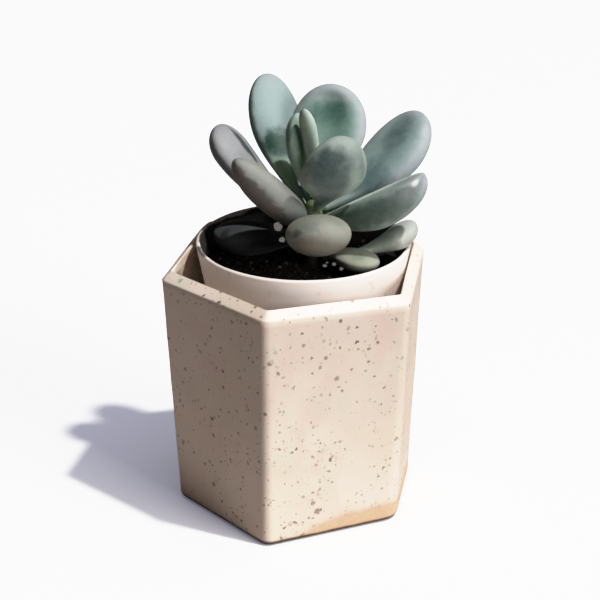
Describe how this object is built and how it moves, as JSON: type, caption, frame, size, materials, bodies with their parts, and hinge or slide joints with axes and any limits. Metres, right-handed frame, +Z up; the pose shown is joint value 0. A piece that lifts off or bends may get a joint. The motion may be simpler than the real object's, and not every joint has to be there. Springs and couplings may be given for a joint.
{
  "type": "potted pachyphytum",
  "caption": "Small succulent with fat powdery leaves on a short stem, planted in a round liner pot that stands inside a six-sided stoneware pot.",
  "frame": {"origin": "on the outer pot's flat underside, near its middle", "axes": "+Z up, along the plant and the height of the pots; -Y towards the front, near a corner of the outer pot; +X to the right"},
  "size_m": [0.0793, 0.0844, 0.1236],
  "materials": {
    "speckled_stoneware": "satin cream glaze with brown and grey speckles, bare tan clay at the foot",
    "cream_liner": "smooth, satin",
    "dark_soil": "matt, granular",
    "green_brown_stem": "matt, with old leaf scars",
    "powdery_leaf": "matt, with a pale waxy powder"
  },
  "bodies": {
    "root": {"outer_pot": "speckled_stoneware", "liner_pot": "cream_liner", "soil": "dark_soil", "stem": "green_brown_stem", "leaf_01_low_right": "powdery_leaf", "leaf_02_low_front": "powdery_leaf", "leaf_03_low_back": "powdery_leaf", "leaf_04_low_left": "powdery_leaf", "leaf_05_front": "powdery_leaf", "leaf_06_back": "powdery_leaf", "leaf_07_back_right": "powdery_leaf", "leaf_08_far_left": "powdery_leaf", "leaf_09_right": "powdery_leaf", "leaf_10_near_left": "powdery_leaf", "leaf_11_tall_left": "powdery_leaf", "leaf_12_tall_right": "powdery_leaf", "leaf_13_facing_front": "powdery_leaf", "leaf_14_tall_back": "powdery_leaf", "leaf_15_young_left": "powdery_leaf", "leaf_16_young_middle": "powdery_leaf", "leaf_17_bud_right": "powdery_leaf", "leaf_18_bud_back": "powdery_leaf"}
  },
  "joints": []
}
